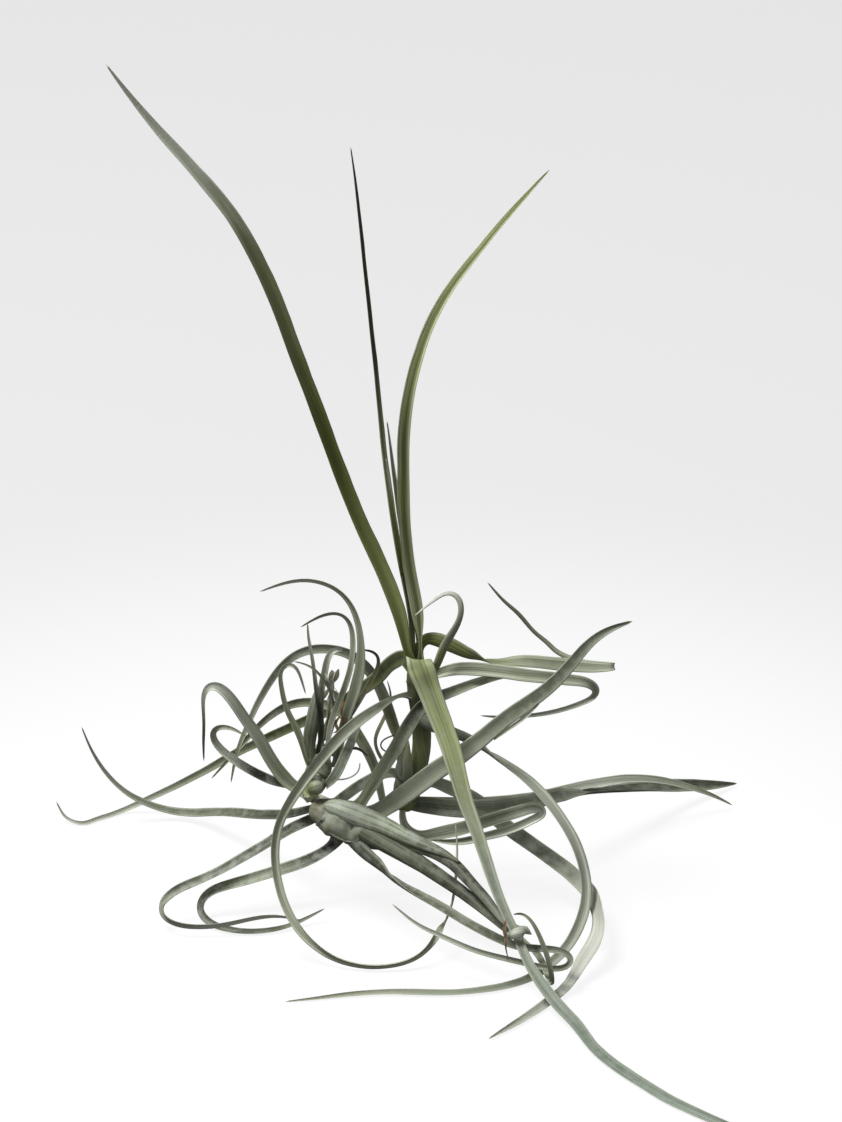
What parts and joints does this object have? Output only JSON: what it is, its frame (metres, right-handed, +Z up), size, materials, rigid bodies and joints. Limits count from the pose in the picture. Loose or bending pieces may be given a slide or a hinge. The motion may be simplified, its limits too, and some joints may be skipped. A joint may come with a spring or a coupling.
{
  "type": "air plant",
  "caption": "Leggy clump of a rootless air plant: joined rosettes of long, narrow channelled leaves that arch, loop and trail round a bare stem and silvery bulbs.",
  "frame": {"origin": "centre of the footprint, on the surface the plant lies on", "axes": "+Z up along the tall leaves, +Y away from the side with the folded front leaf, +X towards the side with the round bend"},
  "size_m": [0.3642, 0.3619, 0.4498],
  "materials": {
    "leaf_olive": "leathery olive leaf with pale scales towards its tip",
    "leaf_sage": "soft sage leaf with a pale translucent margin",
    "leaf_grey_green": "grey-green leaf with fine silver scales and lengthwise streaks",
    "leaf_silver": "silvery mottled leaf and bulb covered in fine scales",
    "leaf_pale": "pale green leaf, a little translucent",
    "leaf_dark": "thin dark green leaf",
    "dry_brown": "dry papery brown sheath, stalk and runner",
    "root": "dry hair-thin root"
  },
  "bodies": {
    "root": {"A_stem": "leaf_olive", "A_leaf_tall_left": "leaf_olive", "A_leaf_tall_mid": "leaf_dark", "A_leaf_tall_right": "leaf_olive", "A_leaf_inner": "leaf_olive", "A_leaf_inner_small": "leaf_olive", "A_leaf_front": "leaf_sage", "A_leaf_right_upper": "leaf_pale", "A_leaf_right_lower": "leaf_pale", "A_leaf_hook": "leaf_dark", "A_leaf_loop": "leaf_sage", "A_leaf_back_left": "leaf_olive", "A_leaf_arch": "leaf_grey_green", "A_leaf_round_right": "leaf_grey_green", "A_leaf_sweep_right": "leaf_grey_green", "A_leaf_far_right": "leaf_grey_green", "A_strand_far_right": "leaf_grey_green", "A_leaf_short_loop": "leaf_pale", "A_leaf_left_return": "leaf_grey_green", "A_leaf_dry": "leaf_dark", "A_pup": "leaf_olive", "B_bulb": "leaf_silver", "B_leaf_wide": "leaf_grey_green", "B_leaf_up": "leaf_grey_green", "B_leaf_ground_left": "leaf_grey_green", "B_leaf_long_left": "leaf_grey_green", "B_leaf_front_1": "leaf_silver", "B_leaf_front_2": "leaf_dark", "B_leaf_front_3": "leaf_grey_green", "C_bulb": "leaf_pale", "C_rootstock": "dry_brown", "C_leaf_low_arch": "leaf_grey_green", "C_leaf_hook_outer": "leaf_silver", "C_leaf_hook_inner": "leaf_grey_green", "C_leaf_loop": "leaf_grey_green", "C_leaf_thin": "leaf_dark", "C_leaf_tall_outer": "leaf_grey_green", "C_leaf_tall_inner": "leaf_grey_green", "C_leaf_curl_right": "leaf_grey_green", "C_leaf_bent": "leaf_pale", "C_leaf_arc": "leaf_dark", "C_leaf_sheath": "dry_brown", "C_leaf_old": "dry_brown", "C_flower_stalk": "dry_brown", "C_root_arc": "root", "C_root_wire": "root", "A_root_ring": "root"}
  },
  "joints": []
}
